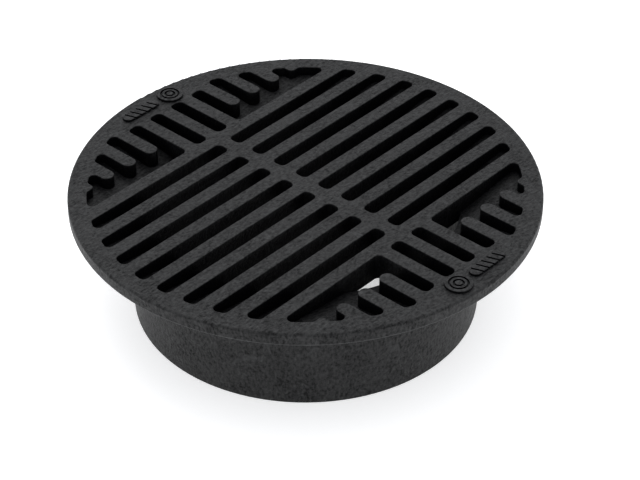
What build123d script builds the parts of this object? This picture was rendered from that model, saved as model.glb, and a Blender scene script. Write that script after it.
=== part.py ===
"""Round plastic floor drain grate: a flange, a slotted grating and a push-in collar.

The origin is the centre of the collar's bottom face. +Z is up, X runs along the long grating bars, and Y runs
along the spine that the bars grow from. All sizes are in millimetres.

The real grate is one moulding. It is built here as its structural members, which meet face to face: the rim,
the spine, the bars, the ties, the fingers, the funnel web, the collar and the raised marks.
"""

import os

from build123d import *

# Overall shape
flange_radius = 105.0
height = 59.7
flange_edge = 5.6
collar_radius = 78.4
collar_wall = 3.2

# Grating: bars and slots on one pitch, cut off by one circle
pitch = 13.46
slot_width = 6.8
slot_circle = 96.5
bar_depth = 12.3
last_bar = 4
last_finger = 4
finger_tip = 67.5
short_slot_end = 89.0

# Funnel web: the closed floor under the slots outside the collar
web_start = 4.5
web_step = 2.1
lip_radius = 69.0
lip_drop = 8.5

# Where the members are parted from the rim, clear of the rounded slot ends
root_margin = 5.2
longest_member = 86.0

# Roundings
slot_corner = 2.4
tip_corner = 3.25
slot_edge = 0.35
flange_top_edge = 1.1
flange_low_edge = 0.5
collar_edge = 0.6

# Raised marks on the flange: a ringed disc and a grooved plate
mark_height = 1.1
mark_line = 95.7
mark_edge = 0.2
disc_offset = 10.4
disc_radius = 6.1
plate_offset = 8.5
plate_length = 21.0
plate_width = 5.6
groove_width = 1.0
groove_depth = 0.8
groove_slant = 20.0
plate_grooves = 5

# Worked out from the sizes above
bar_width = pitch - slot_width
half_bar = bar_width / 2
block_edge = last_bar * pitch + half_bar
collar_height = height - bar_depth

os.makedirs("parts", exist_ok=True)


def save(piece, name):
    """Label a finished piece and write it to its own file."""
    piece.part.label = name
    export_step(piece.part, f"parts/{name}.step")


def circle_reach(across):
    """How far the slot circle reaches along a member whose edge is this far from the centre line."""
    return (slot_circle**2 - across**2) ** 0.5


def mirrored(sign, near, far):
    """Limits of a region on the positive or negative side of an axis, lowest first."""
    return sorted((sign * near, sign * far))


def rectangle_between(x_limits, y_limits):
    """Rectangle in the current sketch, given by its limits."""
    with Locations((sum(x_limits) / 2, sum(y_limits) / 2)):
        Rectangle(x_limits[1] - x_limits[0], y_limits[1] - y_limits[0])


def region_block(x_limits, y_limits, mode):
    """Upright block through the whole depth of the top plate, in the current part."""
    with BuildSketch(Plane.XY.offset(height)) as outline:
        rectangle_between(x_limits, y_limits)
    extrude(outline.sketch, amount=-bar_depth, mode=mode)


# Slot outlines, seen from above
with BuildSketch(Plane.XY.offset(height)) as slots:
    for x_sign in (-1, 1):
        # long slots beside the spine
        for row in range(-last_bar, last_bar):
            slot_edges = (row * pitch + half_bar, (row + 1) * pitch - half_bar)
            rectangle_between(mirrored(x_sign, half_bar, flange_radius), slot_edges)
        for y_sign in (-1, 1):
            # open window beyond the last long bar
            window_edges = mirrored(x_sign, pitch + half_bar, flange_radius)
            rectangle_between(window_edges, mirrored(y_sign, block_edge, finger_tip))
            # short slots beside the spine, and the slots between the fingers
            for column in range(last_finger + 1):
                slot_edges = mirrored(x_sign, column * pitch + half_bar, (column + 1) * pitch - half_bar)
                slot_end = short_slot_end if column < 2 else flange_radius
                rectangle_between(slot_edges, mirrored(y_sign, block_edge, slot_end))
    Circle(slot_circle, mode=Mode.INTERSECT)
    # full round finger tips, then a small radius in every other corner
    finger_reach = last_finger * pitch + bar_width
    on_tip_line = slots.vertices().filter_by(lambda v: abs(abs(v.Y) - finger_tip) < 0.01)
    fillet(on_tip_line.filter_by(lambda v: abs(v.X) < finger_reach), tip_corner)
    tip_arc_ends = finger_tip + tip_corner + 0.01
    others = slots.vertices().filter_by(
        lambda v: abs(v.X) > finger_reach or not finger_tip - 0.01 < abs(v.Y) < tip_arc_ends
    )
    fillet(others, slot_corner)

# Top plate as one piece: flange edge and grating, stepped below for the funnel web. The members are cut from it.
with BuildPart() as top_plate:
    with BuildSketch(Plane.XZ):
        with BuildLine():
            Polyline(
                (0, height),
                (flange_radius, height),
                (flange_radius, height - flange_edge),
                (slot_circle, height - web_start - web_step),
                (slot_circle, height - web_start),
                (lip_radius, height - lip_drop),
                (lip_radius, height - bar_depth),
                (0, height - bar_depth),
                close=True,
            )
        make_face()
    revolve(axis=Axis.Z)
    add(slots.sketch)
    extrude(amount=-bar_depth, mode=Mode.SUBTRACT)
    top_edges = top_plate.faces().sort_by(Axis.Z)[-1].edges()
    flange_circle = top_edges.sort_by(SortBy.LENGTH)[-1]
    fillet(top_edges.filter_by(lambda e: e.length < flange_circle.length), slot_edge)
    outer_circles = top_plate.edges().filter_by(GeomType.CIRCLE).filter_by(
        lambda e: abs(e.radius - flange_radius) < 0.01
    )
    fillet(outer_circles.sort_by(Axis.Z)[-1], flange_top_edge)
    outer_circles = top_plate.edges().filter_by(GeomType.CIRCLE).filter_by(
        lambda e: abs(e.radius - flange_radius) < 0.01
    )
    fillet(outer_circles.sort_by(Axis.Z)[0], flange_low_edge)

# The region that each member takes from the top plate: name, limits in X, limits in Y
shoulder = block_edge + slot_corner
regions = [("spine", (-pitch / 2, pitch / 2), (-shoulder, shoulder))]
for y_sign, y_word in ((-1, "front"), (1, "back")):
    regions.append((f"spine_{y_word}", (-half_bar, half_bar), mirrored(y_sign, shoulder, longest_member)))
for x_sign, x_word in ((-1, "left"), (1, "right")):
    for row in range(-last_bar, last_bar + 1):
        row_word = "centre" if row == 0 else f"front_{-row}" if row < 0 else f"back_{row}"
        bar_end = circle_reach(abs(row) * pitch + half_bar) - root_margin
        bar_edges = (row * pitch - half_bar, row * pitch + half_bar)
        regions.append((f"bar_{x_word}_{row_word}", mirrored(x_sign, pitch / 2, bar_end), bar_edges))
    for y_sign, y_word in ((-1, "front"), (1, "back")):
        tie_edges = mirrored(x_sign, pitch / 2, 1.5 * pitch)
        tie_ends = mirrored(y_sign, block_edge, longest_member)
        regions.append((f"tie_{y_word}_{x_word}", tie_edges, tie_ends))
        for column in range(2, last_finger + 1):
            far_edge = column * pitch + half_bar
            finger_end = min(circle_reach(far_edge) - root_margin, longest_member)
            finger_edges = mirrored(x_sign, column * pitch - half_bar, far_edge)
            finger_name = f"finger_{y_word}_{x_word}_{column - 1}"
            regions.append((finger_name, finger_edges, mirrored(y_sign, block_edge, finger_end)))

for name, x_limits, y_limits in regions:
    with BuildPart() as member:
        add(top_plate.part)
        region_block(x_limits, y_limits, Mode.INTERSECT)
    save(member, name)

# Rim: the flange edge, with the roots of the members between the slot ends
with BuildPart() as rim:
    add(top_plate.part)
    for name, x_limits, y_limits in regions:
        region_block(x_limits, y_limits, Mode.SUBTRACT)
save(rim, "rim")

# Funnel web: the sloping ring that closes the slots outside the collar and drains them inwards
with BuildPart() as funnel_web:
    with BuildSketch(Plane.XZ):
        with BuildLine():
            Polyline(
                (slot_circle, height - web_start),
                (slot_circle, height - web_start - web_step),
                (collar_radius, collar_height),
                (lip_radius, collar_height),
                (lip_radius, height - lip_drop),
                close=True,
            )
        make_face()
    revolve(axis=Axis.Z)
save(funnel_web, "funnel_web")

# Collar: the round wall that pushes into the drain pipe
with BuildPart() as collar:
    with BuildSketch():
        Circle(collar_radius)
        Circle(collar_radius - collar_wall, mode=Mode.SUBTRACT)
    extrude(amount=collar_height)
    fillet(collar.faces().sort_by(Axis.Z)[0].edges(), collar_edge)
save(collar, "collar")

# Raised marks: one pair at each end of the spine, the back pair turned half a circle from the front pair
for turn, y_word in ((-1, "front"), (1, "back")):
    with BuildPart() as mark_disc:
        with BuildSketch(Plane.XY.offset(height)):
            with Locations((turn * disc_offset, turn * mark_line)):
                Circle(disc_radius)
        extrude(amount=mark_height)
        fillet(mark_disc.faces().sort_by(Axis.Z)[-1].edges(), mark_edge)
        with BuildSketch(Plane.XY.offset(height + mark_height)):
            with Locations((turn * disc_offset, turn * mark_line)):
                for ring in (2, 1):
                    ring_radius = ring * disc_radius / 3
                    Circle(ring_radius + groove_width / 2)
                    Circle(ring_radius - groove_width / 2, mode=Mode.SUBTRACT)
        extrude(amount=-groove_depth, mode=Mode.SUBTRACT)
    save(mark_disc, f"mark_disc_{y_word}")

    with BuildPart() as mark_plate:
        with BuildSketch(Plane.XY.offset(height)):
            with Locations((-turn * plate_offset, turn * mark_line)):
                RectangleRounded(plate_length, plate_width, plate_width / 2 - 0.1)
        extrude(amount=mark_height)
        fillet(mark_plate.faces().sort_by(Axis.Z)[-1].edges(), mark_edge)
        with BuildSketch(Plane.XY.offset(height + mark_height)):
            with Locations((-turn * plate_offset, turn * mark_line)):
                with GridLocations(plate_length / (plate_grooves + 1), 0, plate_grooves, 1):
                    Rectangle(groove_width, 2 * plate_width, rotation=groove_slant)
        extrude(amount=-groove_depth, mode=Mode.SUBTRACT)
    save(mark_plate, f"mark_plate_{y_word}")
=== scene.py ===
"""Looks of the floor drain grate: moulded black plastic in a plain bright studio.

All lengths are in metres. The grate stands on its collar, with the long bars along X and the spine along Y.
"""

import math

import bpy
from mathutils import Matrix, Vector


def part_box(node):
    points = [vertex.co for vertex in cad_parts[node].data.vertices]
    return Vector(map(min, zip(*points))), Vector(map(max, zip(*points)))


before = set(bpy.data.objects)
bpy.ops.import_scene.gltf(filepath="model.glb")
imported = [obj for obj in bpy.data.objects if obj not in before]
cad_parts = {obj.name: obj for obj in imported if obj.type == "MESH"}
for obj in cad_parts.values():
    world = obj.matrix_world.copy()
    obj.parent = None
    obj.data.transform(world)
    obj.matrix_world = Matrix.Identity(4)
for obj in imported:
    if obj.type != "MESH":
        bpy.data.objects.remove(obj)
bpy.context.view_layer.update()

MM = 0.001
WHITE = (1.0, 1.0, 1.0, 1.0)

# Camera: a long lens that looks down across the grate from its front left
CAMERA_AZIMUTH = -47.87
CAMERA_ELEVATION = 36.92
CAMERA_DISTANCE = 0.917
CAMERA_LENS = 120.84
SENSOR_WIDTH = 36.0
CLIP_START = 0.05
CLIP_END = 20.0
AIM_POINT = Vector((-26.2 * MM, -32.3 * MM, 59.7 * MM))

# Plastic: linear colours, from the deepest tone to the one for scuffs and the painted highlight on the
# parting line
PLASTIC_DEEP = (0.0045, 0.0046, 0.0048, 1.0)
PLASTIC_PALE = (0.0115, 0.0118, 0.0123, 1.0)
PLASTIC_SCUFF_AND_HIGHLIGHT = (0.030, 0.031, 0.032, 1.0)
PLASTIC_IOR = 1.46

# Patterns in the plastic: noise scales, the share of each in the mottle, and the ranges that they fill
CLOUD_SCALE = 60.0
GRAIN_SCALE = 800.0
DRAWN_SCALE = 850.0
CLOUD_SHARE = 0.20
GRAIN_SHARE = 0.45
DRAWN_SHARE = 0.35
MOTTLE_LOW = 0.39
MOTTLE_HIGH = 0.70
UNEVEN_LOW = 0.35
UNEVEN_HIGH = 0.65

# Upright and flat faces: the normal's Z part where each begins
FLAT_FROM = 0.7
UPRIGHT_FROM = 0.3

# Sheen and roughness, over the mottle's range and over the cloud and grain
SHEEN_LOW = 0.08
SHEEN_HIGH = 0.66
# painted shade: the share of sheen that upright faces keep
UPRIGHT_SHADE_SHEEN = 0.87
SCRATCH_SHEEN = 0.12
# painted highlight: extra sheen on the parting line's band
PARTING_HIGHLIGHT_SHEEN = 0.30
ROUGH_LOW = 0.42
ROUGH_HIGH = 0.58
WEAR_ROUGHNESS = 0.2

# Wear, and the painted highlight on the parting line: how strongly each kind shows
SCRATCH_WEAR = 0.45
EDGE_WEAR = 0.4
PARTING_HIGHLIGHT_WEAR = 0.9

# Relief: heights for the bump, and its strength on flat faces and on edges
BUMP_DISTANCE = 0.7 * MM
BUMP_ON_FACES = 0.6
BUMP_ON_EDGES = 0.15
GRAIN_RELIEF = 0.6
DRAWN_RELIEF = 0.4
SCRATCH_RELIEF = -0.15

# Painted shade in recesses and on upright faces: how far away a wall still shades, and what is left of the
# tone in the deepest ones
RECESS_REACH = 14 * MM
RECESS_CLOSED = 0.30
RECESS_OPEN = 0.72
RECESS_SHADE_TONE = 0.05
RECESS_SHADE_COLOUR = (0.0012, 0.0012, 0.0016, 1.0)
UPRIGHT_SHADE = 0.2

# Skin of the collar and of the flange, measured inwards, where a mark on the outer face begins and is full
SKIN_START = 0.8 * MM
COLLAR_SKIN = 0.2 * MM
FLANGE_SKIN = 0.6 * MM
COLLAR_TOP_FADE = 1.5 * MM

# Worn edges: the radius that they follow, and the cosines where wear begins and is full
EDGE_RADIUS = 0.6 * MM
EDGE_START = 0.985
EDGE_FULL = 0.80
WORN_CLOUD_LOW = 0.4
WORN_CLOUD_HIGH = 0.7

# The mould's parting line, also a painted highlight on the flange's lower edge: how far it lies below the
# flange's top, half its width, and its faintest strength
PARTING_HIGHLIGHT_DROP = 5.35 * MM
PARTING_HIGHLIGHT_WIDTH = 0.45 * MM
PARTING_HIGHLIGHT_CORE = 0.09 * MM
PARTING_HIGHLIGHT_FAINT = 0.5
PARTING_HIGHLIGHT_CLOUD_LOW = 0.35
PARTING_HIGHLIGHT_CLOUD_HIGH = 0.60

# Scratches: the level that a hairline follows, and the size and edge of the patches that it shows in
HAIRLINE_LEVEL = 0.5
PATCH_SCALE = 1.7
PATCH_EDGE = 0.06

# Studio
FLOOR_COLOUR = (0.90, 0.90, 0.90, 1.0)
FLOOR_ROUGHNESS = 0.9
FLOOR_GLOW = 0.48
FLOOR_SIZE = 6.0
WORLD_COLOUR = (0.965, 0.975, 1.0, 1.0)
WORLD_STRENGTH = 1.05
SOFT_BOX_PLACE = Vector((0.15, 0.45, 1.1))
SOFT_BOX_AIM = Vector((0.0, 0.0, 0.05))
SOFT_BOX_SIZE = 0.9
SOFT_BOX_POWER = 2.5


def aim(thing, place, direction):
    """Put a camera or light at a place and point it along a direction."""
    thing.location = place
    thing.rotation_mode = "QUATERNION"
    thing.rotation_quaternion = direction.to_track_quat("-Z", "Y")
    bpy.context.scene.collection.objects.link(thing)


def place_camera():
    """Camera at the photograph's angle, set by its direction from the point that it aims at."""
    azimuth, elevation = math.radians(CAMERA_AZIMUTH), math.radians(CAMERA_ELEVATION)
    back = Vector(
        (
            math.sin(azimuth) * math.cos(elevation),
            -math.cos(azimuth) * math.cos(elevation),
            math.sin(elevation),
        )
    )
    data = bpy.data.cameras.new("camera")
    data.lens = CAMERA_LENS
    data.sensor_width = SENSOR_WIDTH
    data.clip_start = CLIP_START
    data.clip_end = CLIP_END
    camera = bpy.data.objects.new("camera", data)
    aim(camera, AIM_POINT + back * CAMERA_DISTANCE, -back)
    bpy.context.scene.camera = camera


def add_node(tree, kind, **settings):
    """New shader node with its properties and input values set by name."""
    node = tree.nodes.new(kind)
    for name, value in settings.items():
        if hasattr(node, name):
            setattr(node, name, value)
        else:
            node.inputs[name.replace("_", " ")].default_value = value
    return node


def noise(tree, place, scale, stretch=(1.0, 1.0, 1.0), detail=3.0, roughness=0.6, turn=(0.0, 0.0, 0.0)):
    """Noise whose pattern is stretched along the axes, as a socket from 0 to 1."""
    mapping = add_node(tree, "ShaderNodeMapping", Rotation=turn, Scale=stretch)
    tree.links.new(place, mapping.inputs["Vector"])
    texture = add_node(tree, "ShaderNodeTexNoise", Scale=scale, Detail=detail, Roughness=roughness)
    tree.links.new(mapping.outputs["Vector"], texture.inputs["Vector"])
    return texture.outputs["Fac"]


def ramp(tree, value, low, high, out_low=0.0, out_high=1.0):
    """Value spread from one range to another and held inside it."""
    node = add_node(
        tree, "ShaderNodeMapRange", From_Min=low, From_Max=high, To_Min=out_low, To_Max=out_high
    )
    tree.links.new(value, node.inputs["Value"])
    return node.outputs["Result"]


def combine(tree, operation, first, second=0.0):
    """Two sockets, or a socket and a number, through one maths step."""
    node = add_node(tree, "ShaderNodeMath", operation=operation)
    for socket, value in zip(node.inputs, (first, second)):
        if isinstance(value, float):
            socket.default_value = value
        else:
            tree.links.new(value, socket)
    return node.outputs["Value"]


def gather(tree, operation, *terms):
    """Sockets, each times its own weight, joined by one operation."""
    total = None
    for value, weight in terms:
        term = combine(tree, "MULTIPLY", value, weight)
        total = term if total is None else combine(tree, operation, total, term)
    return total


def blend(tree, factor, first, second):
    """Two colours mixed by a socket."""
    node = add_node(tree, "ShaderNodeMix", data_type="RGBA")
    tree.links.new(factor, node.inputs["Factor"])
    for name, colour in (("A", first), ("B", second)):
        socket = next(s for s in node.inputs if s.name == name and s.type == "RGBA")
        if isinstance(colour, tuple):
            socket.default_value = colour
        else:
            tree.links.new(colour, socket)
    return next(s for s in node.outputs if s.type == "RGBA")


def z_part(tree, vector):
    """The Z part of a vector socket."""
    parts = add_node(tree, "ShaderNodeSeparateXYZ")
    tree.links.new(vector, parts.inputs["Vector"])
    return parts.outputs["Z"]


def axis_distance(tree, place):
    """Distance from the grate's own upright axis."""
    flattened = add_node(tree, "ShaderNodeVectorMath", operation="MULTIPLY")
    flattened.inputs[1].default_value = (1.0, 1.0, 0.0)
    tree.links.new(place, flattened.inputs[0])
    across = add_node(tree, "ShaderNodeVectorMath", operation="LENGTH")
    tree.links.new(flattened.outputs["Vector"], across.inputs[0])
    return across.outputs["Value"]


def hairlines(tree, place, scale, stretch, turn, width, cover):
    """Thin curved scratches: the level lines of a stretched noise, broken up by a second one."""
    level = noise(tree, place, scale, stretch=stretch, detail=1.0, turn=turn)
    away = combine(tree, "ABSOLUTE", combine(tree, "SUBTRACT", level, HAIRLINE_LEVEL))
    line = ramp(tree, away, width, 0.0)
    patches = noise(tree, place, scale * PATCH_SCALE, detail=1.0, turn=turn)
    return combine(tree, "MULTIPLY", line, ramp(tree, patches, cover, cover + PATCH_EDGE))


def light_scratches(tree, place):
    """Two sets of hairline scratches that cross each other."""
    along = hairlines(
        tree, place, scale=80.0, stretch=(1.0, 0.12, 0.3), turn=(0.4, 0.2, 0.6), width=0.009, cover=0.54
    )
    across = hairlines(
        tree, place, scale=65.0, stretch=(0.12, 1.0, 0.3), turn=(0.9, 0.3, 0.3), width=0.007, cover=0.56
    )
    return combine(tree, "MAXIMUM", along, across)


def drawn_lines(tree, place, upright):
    """Vertical streaks on upright faces, and the lines of the plastic's flow on flat ones."""
    streaks = noise(
        tree, place, DRAWN_SCALE, stretch=(1.0, 1.0, 0.55), detail=2.0, turn=(0.25, 0.20, 0.0)
    )
    flow = noise(tree, place, DRAWN_SCALE, stretch=(0.5, 1.0, 0.8), detail=2.0, turn=(0.0, 0.5, 0.7))
    change = combine(tree, "MULTIPLY", combine(tree, "SUBTRACT", streaks, flow), upright)
    return combine(tree, "ADD", change, flow)


def recess_shade_mask(tree, upright, radius, height):
    """Painted shade: 1 on open faces and on the collar's outer face, low in recesses and lower on upright
    faces, which keep little colour and sheen.
    """
    collar_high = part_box("collar")[1]
    closeness = add_node(tree, "ShaderNodeAmbientOcclusion", samples=6, Distance=RECESS_REACH)
    shade = combine(tree, "MULTIPLY", upright, UPRIGHT_SHADE)
    openness = combine(tree, "SUBTRACT", closeness.outputs["AO"], shade)
    outer_face = combine(
        tree,
        "MULTIPLY",
        ramp(tree, radius, collar_high[0] - SKIN_START, collar_high[0] - COLLAR_SKIN),
        ramp(tree, height, collar_high[2], collar_high[2] - COLLAR_TOP_FADE),
    )
    openness = combine(tree, "MAXIMUM", openness, outer_face)
    return ramp(tree, openness, RECESS_CLOSED, RECESS_OPEN, RECESS_SHADE_TONE, 1.0)


def edge_mask(tree, true_normal):
    """1 on edges, where a rounded normal leaves the true one."""
    rounded = add_node(tree, "ShaderNodeBevel", samples=4, Radius=EDGE_RADIUS)
    apart = add_node(tree, "ShaderNodeVectorMath", operation="DOT_PRODUCT")
    tree.links.new(rounded.outputs["Normal"], apart.inputs[0])
    tree.links.new(true_normal, apart.inputs[1])
    return ramp(tree, apart.outputs["Value"], EDGE_START, EDGE_FULL)


def parting_line_highlight(tree, radius, height, cloud):
    """The mould's parting line along the flange's lower edge, uneven in strength; its band is also a painted
    highlight on that edge.
    """
    rim_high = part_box("rim")[1]
    off_line = combine(tree, "ABSOLUTE", combine(tree, "SUBTRACT", height, rim_high[2] - PARTING_HIGHLIGHT_DROP))
    line = combine(
        tree,
        "MULTIPLY",
        ramp(tree, off_line, PARTING_HIGHLIGHT_WIDTH, PARTING_HIGHLIGHT_CORE),
        ramp(tree, radius, rim_high[0] - SKIN_START, rim_high[0] - FLANGE_SKIN),
    )
    strength = ramp(tree, cloud, PARTING_HIGHLIGHT_CLOUD_LOW, PARTING_HIGHLIGHT_CLOUD_HIGH, PARTING_HIGHLIGHT_FAINT, 1.0)
    return combine(tree, "MULTIPLY", line, strength)


def plastic_material():
    """Matte black moulded plastic: fine grain, cloudy tone, drawn lines, light wear, painted shade in
    recesses and on uprights, painted highlight on the parting line.
    """
    material = bpy.data.materials.new("moulded_plastic")
    material.use_nodes = True
    tree = material.node_tree
    tree.nodes.clear()
    output = add_node(tree, "ShaderNodeOutputMaterial")
    shader = add_node(tree, "ShaderNodeBsdfPrincipled", IOR=PLASTIC_IOR)
    place = add_node(tree, "ShaderNodeTexCoord").outputs["Object"]
    true_normal = add_node(tree, "ShaderNodeNewGeometry").outputs["Normal"]

    height = z_part(tree, place)
    radius = axis_distance(tree, place)
    upright = ramp(tree, combine(tree, "ABSOLUTE", z_part(tree, true_normal)), FLAT_FROM, UPRIGHT_FROM)

    cloud = noise(tree, place, CLOUD_SCALE)
    grain = noise(tree, place, GRAIN_SCALE, detail=4.0, roughness=0.7)
    drawn = drawn_lines(tree, place, upright)
    scratches = light_scratches(tree, place)
    recess_shade_factor = recess_shade_mask(tree, upright, radius, height)
    edge = edge_mask(tree, true_normal)
    worn_edge = combine(tree, "MULTIPLY", edge, ramp(tree, cloud, WORN_CLOUD_LOW, WORN_CLOUD_HIGH))
    parting_highlight = parting_line_highlight(tree, radius, height, cloud)
    wear_and_highlight = gather(
        tree, "MAXIMUM", (scratches, SCRATCH_WEAR), (worn_edge, EDGE_WEAR), (parting_highlight, PARTING_HIGHLIGHT_WEAR)
    )

    # one mottle drives both the colour and the sheen, so light and dark specks stay together
    mottle = gather(tree, "ADD", (grain, GRAIN_SHARE), (drawn, DRAWN_SHARE), (cloud, CLOUD_SHARE))
    base = blend(tree, ramp(tree, mottle, MOTTLE_LOW, MOTTLE_HIGH), PLASTIC_DEEP, PLASTIC_PALE)
    # painted highlight: the parting line's band turns lighter, together with real scratches and worn edges
    base = blend(tree, wear_and_highlight, base, PLASTIC_SCUFF_AND_HIGHLIGHT)
    # painted shade: recesses and upright faces blend towards a near-black colour
    base = blend(tree, recess_shade_factor, RECESS_SHADE_COLOUR, base)
    tree.links.new(base, shader.inputs["Base Color"])

    sheen = ramp(tree, mottle, MOTTLE_LOW, MOTTLE_HIGH, SHEEN_LOW, SHEEN_HIGH)
    # painted highlight: extra sheen on the parting line's band
    sheen = gather(tree, "ADD", (sheen, 1.0), (scratches, SCRATCH_SHEEN), (parting_highlight, PARTING_HIGHLIGHT_SHEEN))
    # painted shade: upright faces keep less sheen
    sheen = combine(tree, "MULTIPLY", sheen, ramp(tree, upright, 0.0, 1.0, 1.0, UPRIGHT_SHADE_SHEEN))
    # painted shade: recesses keep little of the sheen
    sheen = combine(tree, "MULTIPLY", sheen, recess_shade_factor)
    tree.links.new(sheen, shader.inputs["Specular IOR Level"])

    uneven = gather(tree, "ADD", (cloud, 0.5), (grain, 0.5))
    rough = ramp(tree, uneven, UNEVEN_LOW, UNEVEN_HIGH, ROUGH_LOW, ROUGH_HIGH)
    rough = gather(tree, "ADD", (rough, 1.0), (wear_and_highlight, WEAR_ROUGHNESS))
    tree.links.new(rough, shader.inputs["Roughness"])

    relief = gather(tree, "ADD", (grain, GRAIN_RELIEF), (drawn, DRAWN_RELIEF), (scratches, SCRATCH_RELIEF))
    bump = add_node(tree, "ShaderNodeBump", Distance=BUMP_DISTANCE)
    tree.links.new(ramp(tree, edge, 0.0, 1.0, BUMP_ON_FACES, BUMP_ON_EDGES), bump.inputs["Strength"])
    tree.links.new(relief, bump.inputs["Height"])
    tree.links.new(bump.outputs["Normal"], shader.inputs["Normal"])
    tree.links.new(shader.outputs["BSDF"], output.inputs["Surface"])
    return material


def dress_nodes(material):
    """Give every CAD node the plastic."""
    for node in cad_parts.values():
        node.data.materials.clear()
        node.data.materials.append(material)


def build_floor():
    """Plain pale floor, evenly bright as on a lit studio table."""
    half = FLOOR_SIZE / 2
    mesh = bpy.data.meshes.new("floor")
    corners = [(-half, -half, 0), (half, -half, 0), (half, half, 0), (-half, half, 0)]
    mesh.from_pydata(corners, [], [(0, 1, 2, 3)])
    floor = bpy.data.objects.new("floor", mesh)
    bpy.context.scene.collection.objects.link(floor)
    material = bpy.data.materials.new("floor_white")
    material.use_nodes = True
    shader = material.node_tree.nodes["Principled BSDF"]
    shader.inputs["Base Color"].default_value = FLOOR_COLOUR
    shader.inputs["Roughness"].default_value = FLOOR_ROUGHNESS
    shader.inputs["Emission Color"].default_value = WHITE
    shader.inputs["Emission Strength"].default_value = FLOOR_GLOW
    mesh.materials.append(material)


def light_studio():
    """Pale surroundings and a large soft box overhead."""
    world = bpy.data.worlds.new("studio")
    world.use_nodes = True
    background = world.node_tree.nodes["Background"]
    background.inputs["Color"].default_value = WORLD_COLOUR
    background.inputs["Strength"].default_value = WORLD_STRENGTH
    bpy.context.scene.world = world
    data = bpy.data.lights.new("soft_box_top", "AREA")
    data.shape = "SQUARE"
    data.size = SOFT_BOX_SIZE
    data.energy = SOFT_BOX_POWER
    aim(bpy.data.objects.new("soft_box_top", data), SOFT_BOX_PLACE, SOFT_BOX_AIM - SOFT_BOX_PLACE)
    bpy.context.scene.view_settings.view_transform = "Standard"


place_camera()
dress_nodes(plastic_material())
build_floor()
light_studio()
